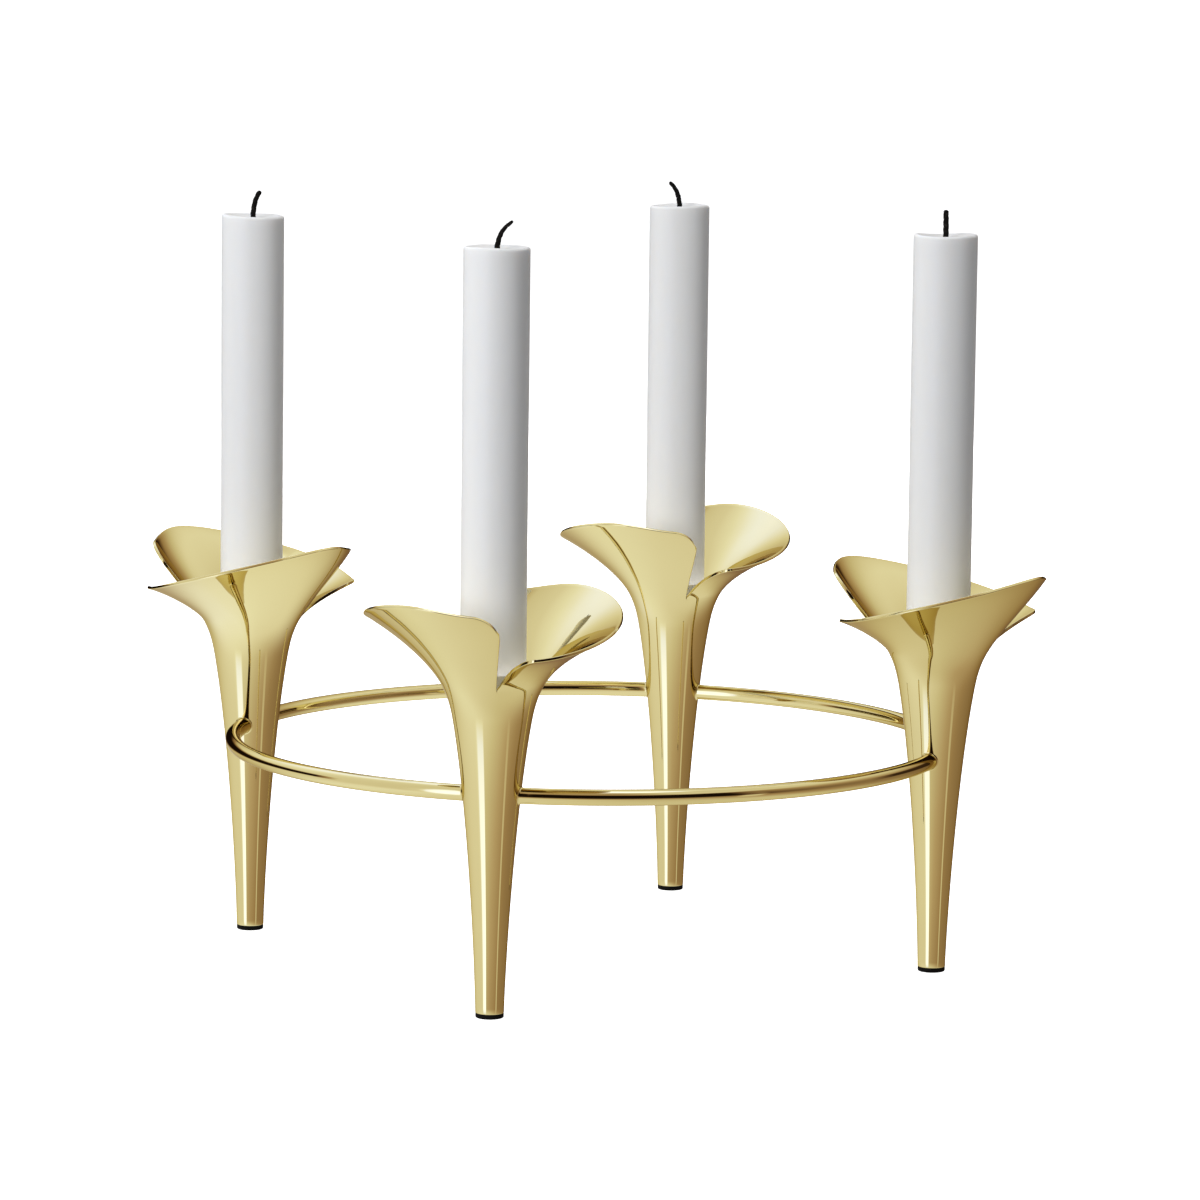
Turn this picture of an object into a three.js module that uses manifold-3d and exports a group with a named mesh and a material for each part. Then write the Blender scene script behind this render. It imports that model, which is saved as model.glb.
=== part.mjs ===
// Taper candle holder: four trumpet-shaped legs brazed into one level ring, each leg opening
// at its top into two wrapped petals round a candle.
// Millimetres, +Z up. The origin is on the table, under the middle of the ring.
// Leg directions are measured from +X, and the front leg stands on -Y.
import * as THREE from 'three';
import { mergeVertices } from 'three/addons/utils/BufferGeometryUtils.js';
import Module from 'manifold-3d';

const wasm = await Module();
wasm.setup();

// The four legs: direction on the ring, turn of the cup against that direction, and how far
// and which way the burnt wick leans.
const LEGS = [
  { name: 'front', direction: -90, cupTurn: 20, wickLean: 5.2, wickTurn: 15 },
  { name: 'right', direction: 0, cupTurn: 22.5, wickLean: 0.8, wickTurn: 190 },
  { name: 'back', direction: 90, cupTurn: 29, wickLean: 3.9, wickTurn: 195 },
  { name: 'left', direction: 180, cupTurn: 17.5, wickLean: 2.6, wickTurn: 15 },
];

// Ring
const RING_RADIUS = 124.5; // to the middle of the rod, which is also the circle of the legs
const RING_HEIGHT = 75;
const ROD_RADIUS = 2.75;
const ROD_GAP = 0.25; // braze gap between a rod end and the leg

// Foot pad
const PAD_HEIGHT = 1.3;
const PAD_EDGE = 0.45; // rounding of the pad's lower edge
const PLUG_RADIUS = 2;
const PLUG_LENGTH = 4;
const PLUG_CLEARANCE = 0.15;

// Candle seat
const CANDLE_RADIUS = 11;
const CANDLE_CLEARANCE = 0.25;
const SEAT_HEIGHT = 94; // the candle's lower end
const BORE_DEPTH = 11; // straight part of the socket
const SPIGOT_LENGTH = 6; // plug of the leg inside the cup
const SPIGOT_INSET = 1.4; // wall of the cup outside the plug
const SPIGOT_CLEARANCE = 0.2;

// Leg, up to the waist where it turns into the cup
const FOOT_RADIUS = 4.8;
const FOOT_SWELL = 0.7; // added radius in the first handle of the leg's curve
const FOOT_HANDLE = 26; // height of that handle above the pad
const WAIST_RISE = 6; // above the candle's seat
const WAIST_WALL = 1.95; // outside the socket
const WAIST_SLOPE = 0.177; // radius gained per millimetre of height at the waist
const WAIST_HANDLE = 26;

// Cup below the petals' cut
const THROAT_RISE = 11.5; // from the waist to the bottom of the two notches
const THROAT_SPREAD = 3.7; // radius gained on the way
const THROAT_SLOPE = 0.54;

// Petals: the rim of the uncut trumpet is low at the lip, widest past the middle of the petal,
// then highest, and draws in to the shoulder. Rises are above the throat.
const WALL = 1.1;
const LIP_RADIUS = 38;
const LIP_RISE = 12.5;
const FLARE_RADIUS = 43;
const PEAK_RISE = 29.5;
const SHOULDER_RADIUS = 35.5;
const SHOULDER_RISE = 26.5;
// Stations round one petal: turn from its cut, shares of the way from the lip's radius to the
// flare's (out) and back in to the shoulder's (in), shares of the way from the lip's rise to the
// peak's (up) and down to the shoulder's (down), and the rim's slope.
const RIM = [
  { turn: 0, out: 0, up: 0, slope: 14 },
  { turn: 24, out: 0.2, up: 0.035, slope: 16 },
  { turn: 50, out: 0.8, up: 0.25, slope: 22 },
  { turn: 84, out: 1, up: 0.625, slope: 30 },
  { turn: 110, out: 1, up: 0.88, slope: 36 },
  { turn: 135, in: 0.2, down: 0, slope: 46 },
  { turn: 158, in: 0.73, down: 0.67, slope: 58 },
  { turn: 180, in: 1, down: 1, slope: 62 },
];
const LOWER_PULL = 0.37; // handle at the throat, as a share of the petal's rise
const UPPER_PULL = 0.3; // handle at the rim, as a share of the petal's chord
const LIP_TURN = 17; // over which the low lip spreads from the notch
const LIP_START = 0.06; // share of the trumpet left standing at the lip's cut
const SHOULDER_TURN = 16; // over which the high shoulder rounds off
const SHOULDER_START = 0.7; // share of the trumpet left standing at the shoulder's cut
const INNER_START = 0.55; // share of the petal's inner face that runs along the wall
const SEAM_TURN = 0.3; // half the braze seam between two petals, in degrees

// Candle and wick
const CANDLE_TOP = 256.4;
const CANDLE_EDGE = 1.1; // rounding of the burnt top
const DISH_DEPTH = 1;
const CANDLE_CHAMFER = 0.4;
const WICK_RADIUS = 0.8;
const WICK_CLEARANCE = 0.25;
const WICK_SET = 3; // depth of the wick in the wax
const WICK_HEIGHT = 9.5; // above the wax

// Facets
const ROUND_SIDES = 20;
const CANDLE_SIDES = 20;
const ROD_SIDES = 16;
const ROD_STEPS = 16;
const WICK_SIDES = 8;
const WICK_STEPS = 7;
const PETAL_COLUMNS = [0, 3, 6, 9, 12, 16, 22, 33, 47, 63, 80, 97, 114, 130, 143, 154, 163, 170,
  175, 178, 180];

const gold = new THREE.MeshStandardMaterial({ color: 0xdcc98a, metalness: 1, roughness: 0.12 });
const wax = new THREE.MeshStandardMaterial({ color: 0xf1f0ee, metalness: 0, roughness: 0.55 });
const char = new THREE.MeshStandardMaterial({ color: 0x1d1a18, metalness: 0, roughness: 0.95 });
const rubber = new THREE.MeshStandardMaterial({ color: 0x16130f, metalness: 0, roughness: 0.8 });

const rad = THREE.MathUtils.degToRad;
const SEAT_JOINT = SEAT_HEIGHT - SPIGOT_LENGTH;
const BORE_RADIUS = CANDLE_RADIUS + CANDLE_CLEARANCE;
const BORE_TOP = SEAT_HEIGHT + BORE_DEPTH;
const WAIST_RADIUS = BORE_RADIUS + WAIST_WALL;
const WAIST_HEIGHT = SEAT_HEIGHT + WAIST_RISE;
const THROAT_RADIUS = WAIST_RADIUS + THROAT_SPREAD;
const THROAT_HEIGHT = WAIST_HEIGHT + THROAT_RISE;

// The side of the leg: radius against height, from the pad to the waist.
const legSide = new THREE.CubicBezierCurve(
  new THREE.Vector2(FOOT_RADIUS, PAD_HEIGHT),
  new THREE.Vector2(FOOT_RADIUS + FOOT_SWELL, PAD_HEIGHT + FOOT_HANDLE),
  new THREE.Vector2(WAIST_RADIUS - WAIST_SLOPE * WAIST_HANDLE, WAIST_HEIGHT - WAIST_HANDLE),
  new THREE.Vector2(WAIST_RADIUS, WAIST_HEIGHT),
);

// The side of the cup from the waist to the bottom of the notches.
const cupRise = (THROAT_HEIGHT - WAIST_HEIGHT) / 3;
const throatSide = new THREE.CubicBezierCurve(
  new THREE.Vector2(WAIST_RADIUS, WAIST_HEIGHT),
  new THREE.Vector2(WAIST_RADIUS + WAIST_SLOPE * cupRise, WAIST_HEIGHT + cupRise),
  new THREE.Vector2(THROAT_RADIUS - THROAT_SLOPE * cupRise, THROAT_HEIGHT - cupRise),
  new THREE.Vector2(THROAT_RADIUS, THROAT_HEIGHT),
);

// Where a rising curve reaches a height, found by halving.
function parameterAt(curve, height) {
  let low = 0;
  let high = 1;
  for (let i = 0; i < 40; i += 1) {
    const middle = (low + high) / 2;
    if (curve.getPoint(middle).y < height) low = middle;
    else high = middle;
  }
  return (low + high) / 2;
}

function pointsAlong(curve, from, to, count) {
  const points = [];
  for (let i = 0; i <= count; i += 1) points.push(curve.getPoint(from + (to - from) * i / count));
  return points;
}

// A solid of revolution about Z from a profile of radius and height.
function turned(profile, sides) {
  const geometry = new THREE.LatheGeometry(profile, sides);
  geometry.rotateX(Math.PI / 2);
  return geometry;
}

const rimStations = RIM.map((station) => {
  const mix = THREE.MathUtils.lerp;
  const radius = station.in === undefined ? mix(LIP_RADIUS, FLARE_RADIUS, station.out)
    : mix(FLARE_RADIUS, SHOULDER_RADIUS, station.in);
  const rise = station.down === undefined ? mix(LIP_RISE, PEAK_RISE, station.up)
    : mix(PEAK_RISE, SHOULDER_RISE, station.down);
  return { turn: station.turn, radius, height: THROAT_HEIGHT + rise, slope: station.slope };
});

// The rim of the uncut trumpet at a turn, with slopes taken across the neighbouring stations.
function rimAt(turn) {
  const stations = rimStations;
  let i = 0;
  while (i < stations.length - 2 && turn > stations[i + 1].turn) i += 1;
  const span = stations[i + 1].turn - stations[i].turn;
  const s = (turn - stations[i].turn) / span;
  const value = (key) => {
    const rate = (k) => {
      const a = stations[Math.max(k - 1, 0)];
      const b = stations[Math.min(k + 1, stations.length - 1)];
      return (b[key] - a[key]) / (b.turn - a.turn);
    };
    const start = stations[i][key];
    const end = stations[i + 1][key];
    const m0 = rate(i) * span;
    const m1 = rate(i + 1) * span;
    return (2 * s ** 3 - 3 * s ** 2 + 1) * start + (s ** 3 - 2 * s ** 2 + s) * m0
      + (3 * s ** 2 - 2 * s ** 3) * end + (s ** 3 - s ** 2) * m1;
  };
  return { radius: value('radius'), height: value('height'), slope: rad(value('slope')) };
}

// The flare of a petal at a turn: from the throat out to the rim.
function flareAt(turn) {
  const rim = rimAt(turn);
  const start = new THREE.Vector2(THROAT_RADIUS, THROAT_HEIGHT);
  const end = new THREE.Vector2(rim.radius, rim.height);
  const lower = new THREE.Vector2(THROAT_SLOPE, 1).normalize();
  const upper = new THREE.Vector2(Math.cos(rim.slope), Math.sin(rim.slope));
  const first = start.clone().addScaledVector(lower, LOWER_PULL * (rim.height - THROAT_HEIGHT));
  const second = end.clone().addScaledVector(upper, -UPPER_PULL * start.distanceTo(end));
  return new THREE.CubicBezierCurve(start, first, second, end);
}

// How much of the flare stands at a turn: little at the lip, most of it at the shoulder.
function standingAt(turn) {
  const lip = THREE.MathUtils.smoothstep(turn, 0, LIP_TURN);
  const back = THREE.MathUtils.clamp((180 - turn) / SHOULDER_TURN, 0, 1);
  const shoulder = 1 - (1 - back) ** 2;
  return Math.min(LIP_START + (1 - LIP_START) * lip,
    SHOULDER_START + (1 - SHOULDER_START) * shoulder);
}

// The wall's inner face beside a point of a profile curve.
function insideOf(curve, t) {
  const point = curve.getPoint(t);
  const along = curve.getTangent(t);
  return new THREE.Vector2(point.x - along.y * WALL, point.y + along.x * WALL);
}

// The closed section of a petal at a turn: up its outside, over the rim, down to the socket.
function petalSection(turn) {
  const joint = parameterAt(legSide, SEAT_JOINT);
  const flare = flareAt(turn);
  const top = standingAt(turn);
  const outside = [
    ...pointsAlong(legSide, joint, 1, 2),
    ...pointsAlong(throatSide, 0, 1, 2).slice(1),
    ...pointsAlong(flare, 0, top, 6).slice(1),
  ];
  const inner = INNER_START * top;
  const inside = [];
  for (let i = 0; i <= 3; i += 1) inside.push(insideOf(flare, top + (inner - top) * i / 3));
  const foot = inside[inside.length - 1];
  const along = flare.getTangent(inner);
  const reach = foot.distanceTo(new THREE.Vector2(BORE_RADIUS, BORE_TOP)) / 3;
  const mouth = new THREE.CubicBezierCurve(
    foot,
    foot.clone().addScaledVector(along, -reach),
    new THREE.Vector2(BORE_RADIUS, BORE_TOP + reach),
    new THREE.Vector2(BORE_RADIUS, BORE_TOP),
  );
  inside.push(...pointsAlong(mouth, 0, 1, 3).slice(1));
  inside.push(new THREE.Vector2(BORE_RADIUS, SEAT_HEIGHT));
  const spigot = outside[0].x - SPIGOT_INSET + SPIGOT_CLEARANCE;
  inside.push(new THREE.Vector2(spigot, SEAT_HEIGHT));
  inside.push(new THREE.Vector2(spigot, SEAT_JOINT));
  return [...outside, ...inside];
}

// One petal: its sections swept through half a turn, with both cut ends closed.
function petalGeometry() {
  const columns = PETAL_COLUMNS.map((turn) => petalSection(turn));
  const rows = columns[0].length;
  const positions = [];
  columns.forEach((section, c) => {
    const angle = rad(THREE.MathUtils.clamp(PETAL_COLUMNS[c], SEAM_TURN, 180 - SEAM_TURN));
    section.forEach((p) => positions.push(p.x * Math.cos(angle), p.x * Math.sin(angle), p.y));
  });
  const index = [];
  for (let c = 0; c < columns.length - 1; c += 1) {
    for (let r = 0; r < rows; r += 1) {
      const a = c * rows + r;
      const b = c * rows + (r + 1) % rows;
      index.push(a, a + rows, b, b, a + rows, b + rows);
    }
  }
  const last = (columns.length - 1) * rows;
  THREE.ShapeUtils.triangulateShape(columns[0].slice(), []).forEach(([a, b, c]) => {
    index.push(a, b, c);
  });
  THREE.ShapeUtils.triangulateShape(columns[columns.length - 1].slice(), []).forEach(([a, b, c]) => {
    index.push(last + a, last + c, last + b);
  });
  const geometry = new THREE.BufferGeometry();
  geometry.setAttribute('position', new THREE.Float32BufferAttribute(positions, 3));
  geometry.setIndex(index);
  geometry.computeVertexNormals();
  return geometry;
}

// The solid leg, from the pad's plug hole to the spigot that the petals stand round.
function legGeometry() {
  const joint = parameterAt(legSide, SEAT_JOINT);
  const side = pointsAlong(legSide, 0, joint, 9);
  const hole = PLUG_RADIUS + PLUG_CLEARANCE;
  const holeTop = PAD_HEIGHT + PLUG_LENGTH + PLUG_CLEARANCE;
  const spigot = side[side.length - 1].x - SPIGOT_INSET;
  return turned([
    new THREE.Vector2(0, holeTop),
    new THREE.Vector2(hole, holeTop),
    new THREE.Vector2(hole, PAD_HEIGHT),
    ...side,
    new THREE.Vector2(spigot, SEAT_JOINT),
    new THREE.Vector2(spigot, SEAT_HEIGHT),
    new THREE.Vector2(0, SEAT_HEIGHT),
  ], ROUND_SIDES);
}

function padGeometry() {
  return turned([
    new THREE.Vector2(0, 0),
    new THREE.Vector2(FOOT_RADIUS - PAD_EDGE, 0),
    new THREE.Vector2(FOOT_RADIUS, PAD_EDGE),
    new THREE.Vector2(FOOT_RADIUS, PAD_HEIGHT),
    new THREE.Vector2(PLUG_RADIUS, PAD_HEIGHT),
    new THREE.Vector2(PLUG_RADIUS, PAD_HEIGHT + PLUG_LENGTH),
    new THREE.Vector2(0, PAD_HEIGHT + PLUG_LENGTH),
  ], ROUND_SIDES);
}

function candleGeometry() {
  const hole = WICK_RADIUS + WICK_CLEARANCE;
  const dish = CANDLE_TOP - DISH_DEPTH;
  return turned([
    new THREE.Vector2(0, SEAT_HEIGHT),
    new THREE.Vector2(CANDLE_RADIUS - CANDLE_CHAMFER, SEAT_HEIGHT),
    new THREE.Vector2(CANDLE_RADIUS, SEAT_HEIGHT + CANDLE_CHAMFER),
    new THREE.Vector2(CANDLE_RADIUS, CANDLE_TOP - CANDLE_EDGE),
    new THREE.Vector2(CANDLE_RADIUS - CANDLE_EDGE * 0.3, CANDLE_TOP - CANDLE_EDGE * 0.3),
    new THREE.Vector2(CANDLE_RADIUS - CANDLE_EDGE, CANDLE_TOP),
    new THREE.Vector2(CANDLE_RADIUS * 0.6, CANDLE_TOP - DISH_DEPTH * 0.55),
    new THREE.Vector2(hole, dish),
    new THREE.Vector2(hole, dish - WICK_SET),
    new THREE.Vector2(0, dish - WICK_SET),
  ], CANDLE_SIDES);
}

// A burnt wick: straight out of the wax, then leaning over.
function wickGeometry(lean) {
  const root = CANDLE_TOP - DISH_DEPTH - WICK_SET + WICK_CLEARANCE;
  const wax0 = CANDLE_TOP - DISH_DEPTH;
  const path = new THREE.CatmullRomCurve3([
    new THREE.Vector3(0, 0, root),
    new THREE.Vector3(0, 0, wax0),
    new THREE.Vector3(lean * 0.12, 0, wax0 + WICK_HEIGHT * 0.35),
    new THREE.Vector3(lean * 0.45, 0, wax0 + WICK_HEIGHT * 0.7),
    new THREE.Vector3(lean, 0, wax0 + WICK_HEIGHT),
  ]);
  const section = new THREE.Shape();
  section.absarc(0, 0, WICK_RADIUS, 0, Math.PI * 2);
  return new THREE.ExtrudeGeometry(section, {
    curveSegments: WICK_SIDES / 2, steps: WICK_STEPS, extrudePath: path, bevelEnabled: false,
  });
}

// The middle line of the ring between two neighbouring legs.
class RingLine extends THREE.Curve {
  constructor(from, to) {
    super();
    this.from = from;
    this.to = to;
  }

  getPoint(t, target = new THREE.Vector3()) {
    const angle = rad(this.from + (this.to - this.from) * t);
    return target.set(RING_RADIUS * Math.cos(angle), RING_RADIUS * Math.sin(angle), RING_HEIGHT);
  }
}

function toSolid(geometry) {
  const bare = geometry.clone();
  bare.deleteAttribute('normal');
  bare.deleteAttribute('uv');
  const merged = mergeVertices(bare);
  return new wasm.Manifold(new wasm.Mesh({
    numProp: 3,
    vertProperties: new Float32Array(merged.attributes.position.array),
    triVerts: new Uint32Array(merged.index.array),
  }));
}

function toGeometry(solid) {
  const mesh = solid.getMesh();
  const geometry = new THREE.BufferGeometry();
  geometry.setAttribute('position', new THREE.BufferAttribute(mesh.vertProperties, 3));
  geometry.setIndex(new THREE.BufferAttribute(mesh.triVerts, 1));
  geometry.computeVertexNormals();
  return geometry;
}

// A quarter of the ring, its two ends hollowed to fit against the legs.
function rodGeometry(from, to) {
  const section = new THREE.Shape();
  section.absarc(0, 0, ROD_RADIUS, 0, Math.PI * 2);
  const rod = new THREE.ExtrudeGeometry(section, {
    curveSegments: ROD_SIDES / 2, steps: ROD_STEPS, extrudePath: new RingLine(from, to),
    bevelEnabled: false,
  });
  const reach = ROD_RADIUS * 3;
  const low = parameterAt(legSide, RING_HEIGHT - reach);
  const high = parameterAt(legSide, RING_HEIGHT + reach);
  const side = pointsAlong(legSide, low, high, 4);
  side.forEach((p) => p.setX(p.x + ROD_GAP));
  const cutter = turned([
    new THREE.Vector2(0, side[0].y), ...side, new THREE.Vector2(0, side[side.length - 1].y),
  ], ROUND_SIDES * 2);
  let solid = toSolid(rod);
  [from, to].forEach((direction) => {
    const leg = cutter.clone();
    leg.translate(RING_RADIUS * Math.cos(rad(direction)), RING_RADIUS * Math.sin(rad(direction)), 0);
    solid = solid.subtract(toSolid(leg));
  });
  return toGeometry(solid);
}

function piece(name, geometry, material) {
  const mesh = new THREE.Mesh(geometry, material);
  mesh.name = name;
  return mesh;
}

const holder = new THREE.Group();

LEGS.forEach((leg, i) => {
  const stand = new THREE.Group();
  stand.rotation.z = rad(leg.direction);
  stand.position.set(RING_RADIUS * Math.cos(rad(leg.direction)),
    RING_RADIUS * Math.sin(rad(leg.direction)), 0);
  stand.add(piece(`foot_pad_${leg.name}`, padGeometry(), rubber));
  stand.add(piece(`leg_${leg.name}`, legGeometry(), gold));
  ['a', 'b'].forEach((side, k) => {
    const petal = piece(`petal_${leg.name}_${side}`, petalGeometry(), gold);
    petal.rotation.z = rad(leg.cupTurn + 180 * k);
    stand.add(petal);
  });
  stand.add(piece(`candle_${leg.name}`, candleGeometry(), wax));
  const wick = piece(`wick_${leg.name}`, wickGeometry(leg.wickLean), char);
  wick.rotation.z = rad(leg.wickTurn - leg.direction);
  stand.add(wick);
  holder.add(stand);

  const next = LEGS[(i + 1) % LEGS.length];
  const span = (next.direction - leg.direction + 360) % 360;
  const rod = rodGeometry(leg.direction, leg.direction + span);
  holder.add(piece(`ring_rod_${leg.name}_${next.name}`, rod, gold));
});

export default holder;
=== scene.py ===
"""Looks of a taper candle holder: polished metal trumpets in a ring, white candles, burnt wicks."""

import math

import bmesh
import bpy
import numpy as np
from bpy.props import FloatProperty, FloatVectorProperty, IntProperty, PointerProperty
from mathutils import Matrix, Vector


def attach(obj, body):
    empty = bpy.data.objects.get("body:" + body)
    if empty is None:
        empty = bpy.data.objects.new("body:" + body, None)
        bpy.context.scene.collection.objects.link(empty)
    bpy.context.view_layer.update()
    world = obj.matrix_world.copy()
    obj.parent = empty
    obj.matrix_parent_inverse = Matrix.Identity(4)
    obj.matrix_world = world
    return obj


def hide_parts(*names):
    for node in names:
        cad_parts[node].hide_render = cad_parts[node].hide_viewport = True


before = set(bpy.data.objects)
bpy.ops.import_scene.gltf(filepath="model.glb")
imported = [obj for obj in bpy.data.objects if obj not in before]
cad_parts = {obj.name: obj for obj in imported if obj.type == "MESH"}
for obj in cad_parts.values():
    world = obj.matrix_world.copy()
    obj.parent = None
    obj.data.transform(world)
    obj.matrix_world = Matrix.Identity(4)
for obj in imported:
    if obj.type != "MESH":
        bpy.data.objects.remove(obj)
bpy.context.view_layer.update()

bl_info = {
    "name": "Taper candle holder",
    "version": (1, 0, 0),
    "blender": (4, 5, 0),
    "location": "View3D > Sidebar > Candle holder",
    "description": "Makes the looks of a ring-shaped holder for taper candles",
    "category": "Add Mesh",
}

MM = 0.001
LEGS = ("front", "right", "back", "left")
DIRECTIONS = {"front": -90.0, "right": 0.0, "back": 90.0, "left": 180.0}
CUP_TURNS = {"front": 20.0, "right": 22.5, "back": 29.0, "left": 17.5}
# How far the tip of each wick leans in millimetres, the direction of the lean, and how thick the
# tip is as a share
WICK_LEANS = {"front": (5.2, 15.0, 0.55), "right": (0.15, 190.0, 0.95), "back": (3.9, 195.0, 0.72),
              "left": (2.6, 15.0, 0.85)}


# Sizes and colours that a user would change


def size_property(name, description, millimetres):
    """A length, given in millimetres."""
    return FloatProperty(name=name, description=description, default=millimetres * MM, min=0.0,
                         precision=5, unit="LENGTH")


def colour_property(name, description, value):
    """A colour of three parts."""
    return FloatVectorProperty(name=name, description=description, default=value, min=0.0,
                               max=1.0, size=3, subtype="COLOR")


def factor_property(name, description, value, high=1.0):
    """A number from 0 up to a highest value."""
    return FloatProperty(name=name, description=description, default=value, min=0.0, max=high,
                         subtype="FACTOR" if high == 1.0 else "NONE")


class HolderSizes(bpy.types.PropertyGroup):
    """Sizes of the holder's pieces."""
    ring_radius: size_property("Ring radius", "Middle of the ring's rod", 124.5)
    ring_height: size_property("Ring height", "Middle of the ring's rod above the table", 75)
    rod_radius: size_property("Rod radius", "Half the thickness of the ring's rod", 2.75)
    braze: size_property("Braze", "Fillet where the rod meets a leg", 0.7)
    pad_height: size_property("Pad height", "Rubber pad under a leg", 1.6)
    pad_edge: size_property("Pad edge", "Rounding of the pad's lower edge", 0.5)
    foot_radius: size_property("Foot radius", "Leg at its lower end", 4.8)
    foot_swell: size_property("Foot swell", "Radius added in the leg's first handle", 0.7)
    side_handle: size_property("Side handle", "Handles of the leg's side", 26)
    foot_edge: size_property("Foot edge", "Rounding of the leg's lower edge", 0.3)
    waist_radius: size_property("Waist radius", "Leg where it turns into the cup", 13.2)
    waist_height: size_property("Waist height", "Height of the waist", 100)
    throat_radius: size_property("Throat radius", "Cup at the bottom of its cuts", 16.9)
    throat_height: size_property("Throat height", "Height of the bottom of the cuts", 111.5)
    seat_height: size_property("Seat height", "Lower end of the candle", 94)
    bore_depth: size_property("Bore depth", "Straight part of the socket", 11)
    bore_radius: size_property("Bore radius", "Socket of the candle", 11.25)
    wall: size_property("Wall", "Thickness of the petals", 1.1)
    cut_gap: size_property("Cut gap", "Width of the cut between two petals", 0.24)
    cut_edge: size_property("Cut edge", "Rounding of the petals' cut edges", 0.3)
    candle_radius: size_property("Candle radius", "Half the candle's thickness", 11)
    candle_top: size_property("Candle top", "Height of the burnt top", 256.4)
    candle_edge: size_property("Candle edge", "Rounding of the burnt top", 0.9)
    dish_depth: size_property("Dish depth", "Hollow burnt into the candle's top", 1.0)
    wick_radius: size_property("Wick radius", "Half the wick's thickness", 1.0)
    wick_height: size_property("Wick height", "Wick above the wax", 9.5)
    petal_columns: IntProperty(name="Petal columns", description="Columns in the middle of a petal",
                               default=40, min=8, max=200)


class HolderColours(bpy.types.PropertyGroup):
    """Colours and finishes of the holder's pieces."""
    metal: colour_property("Metal", "Polished pale gold", (0.81, 0.71, 0.365))
    metal_roughness: factor_property("Metal roughness", "Roughness of the polish", 0.022)
    metal_wave: factor_property("Metal wave", "Hand-polished waviness", 0.06)
    wax: colour_property("Wax", "Candle wax", (0.825, 0.825, 0.83))
    char: colour_property("Char", "Burnt wick", (0.006, 0.0055, 0.005))
    rubber: colour_property("Rubber", "Foot pads", (0.004, 0.0037, 0.0033))
    floor: colour_property("Floor", "Studio floor", (0.9, 0.9, 0.9))


# Curves


def bezier(points, t):
    """Points of a cubic curve of radius and height."""
    p = np.array(points, float)
    t = np.asarray(t, float)[:, None]
    s = 1 - t
    return s ** 3 * p[0] + 3 * s ** 2 * t * p[1] + 3 * s * t ** 2 * p[2] + t ** 3 * p[3]


def bezier_slope(points, t):
    """Unit tangents of a cubic curve of radius and height."""
    p = np.array(points, float)
    t = np.asarray(t, float)[:, None]
    s = 1 - t
    d = 3 * s ** 2 * (p[1] - p[0]) + 6 * s * t * (p[2] - p[1]) + 3 * t ** 2 * (p[3] - p[2])
    return d / np.linalg.norm(d, axis=1)[:, None]


def outward(slopes):
    """Normals on the outer side of a rising profile."""
    return np.stack([slopes[:, 1], -slopes[:, 0]], 1)


def run_length(points):
    """How far a run of points has come at each of them."""
    return np.concatenate([[0], np.cumsum(np.linalg.norm(np.diff(points, axis=0), axis=1))])


def smoothstep(u):
    """A share from 0 to 1, eased at both ends."""
    return u * u * (3 - 2 * u)


class Spline:
    """A natural cubic through given values."""

    def __init__(self, x, y):
        self.x, self.y = np.array(x, float), np.array(y, float)
        n = len(x)
        h = np.diff(self.x)
        a = np.zeros((n, n))
        b = np.zeros(n)
        a[0, 0] = a[-1, -1] = 1
        for i in range(1, n - 1):
            a[i, i - 1], a[i, i], a[i, i + 1] = h[i - 1], 2 * (h[i - 1] + h[i]), h[i]
            b[i] = 6 * ((self.y[i + 1] - self.y[i]) / h[i] - (self.y[i] - self.y[i - 1]) / h[i - 1])
        self.m = np.linalg.solve(a, b)

    def __call__(self, v):
        i = int(np.clip(np.searchsorted(self.x, v) - 1, 0, len(self.x) - 2))
        h = self.x[i + 1] - self.x[i]
        p, q = (self.x[i + 1] - v) / h, (v - self.x[i]) / h
        return (p * self.y[i] + q * self.y[i + 1]
                + ((p ** 3 - p) * self.m[i] + (q ** 3 - q) * self.m[i + 1]) * h * h / 6)


# The rim of the uncut trumpet round one petal: turn from its cut, radius, rise above the
# throat, slope
RIM = ((0, 38, 12.5, 14), (24, 39, 13.1, 16), (50, 42, 16.75, 22), (84, 43, 23.1, 30),
       (110, 43, 27.5, 36), (135, 41.5, 29.5, 46), (158, 37.5, 27.5, 58), (180, 35.5, 26.5, 62))
RIM_RADIUS = Spline([s[0] for s in RIM], [s[1] * MM for s in RIM])
RIM_RISE = Spline([s[0] for s in RIM], [s[2] * MM for s in RIM])
RIM_SLOPE = Spline([s[0] for s in RIM], [math.radians(s[3]) for s in RIM])
# How far the side spreads for each step up, at the waist and at the bottom of the cuts
WAIST_SLOPE, THROAT_SLOPE = 0.177, 0.54
# Handles of the flare's curve: the lower as a share of its rise, the upper of its span
LOWER_PULL, UPPER_PULL = 0.37, 0.3
# Degrees over which the lip and the shoulder rise to the full rim, and the share that stands
# right at the cut
LIP_TURN, LIP_START = 17.0, 0.06
SHOULDER_TURN, SHOULDER_START = 16.0, 0.62
HALVINGS = 40  # steps that find the leg's radius at a height


def leg_side(z):
    """Control points of the leg's side, from the pad to the waist."""
    return ((z.foot_radius, z.pad_height),
            (z.foot_radius + z.foot_swell, z.pad_height + z.side_handle),
            (z.waist_radius - WAIST_SLOPE * z.side_handle, z.waist_height - z.side_handle),
            (z.waist_radius, z.waist_height))


def throat_side(z):
    """Control points of the cup's side, from the waist to the bottom of the cuts."""
    rise = (z.throat_height - z.waist_height) / 3
    return ((z.waist_radius, z.waist_height),
            (z.waist_radius + WAIST_SLOPE * rise, z.waist_height + rise),
            (z.throat_radius - THROAT_SLOPE * rise, z.throat_height - rise),
            (z.throat_radius, z.throat_height))


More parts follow.
